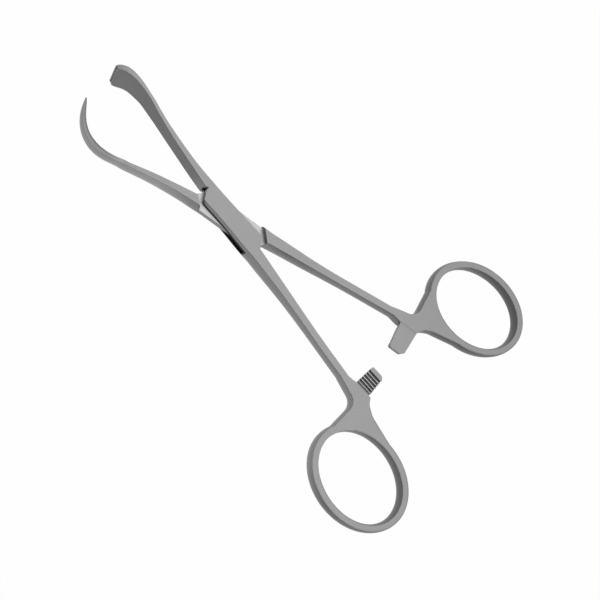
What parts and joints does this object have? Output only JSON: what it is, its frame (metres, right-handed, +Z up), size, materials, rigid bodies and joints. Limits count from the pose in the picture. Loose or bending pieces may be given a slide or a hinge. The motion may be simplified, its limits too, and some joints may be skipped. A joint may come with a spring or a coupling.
{
  "type": "towel clamp",
  "caption": "Ring-handled towel clamp with a box-lock hinge, opposed ratchet tabs, one sharp curved tine and one flared paddle jaw with a grooved end pad.",
  "frame": {"origin": "on the pivot axis, at the flat underside of the box lock", "axes": "+X runs from the pivot to the jaws, -X to the finger rings; +Y is the side of the tine and of the box half's ring; +Z points up out of the box's top face, along the pivot pin"},
  "size_m": [0.1345, 0.0862, 0.0098],
  "materials": {
    "half_steel": "satin",
    "pin_steel": "satin"
  },
  "bodies": {
    "box_side": {"box_half": "half_steel", "pivot_pin": "pin_steel"},
    "inner_side": {"inner_half": "half_steel"}
  },
  "joints": [
    {"name": "box_lock", "type": "hinge", "parent": "box_side", "child": "inner_side", "pos_m": [0, 0, 0.00262], "axis": [0, 0, 1], "range_deg": [-11.5, 40]}
  ]
}
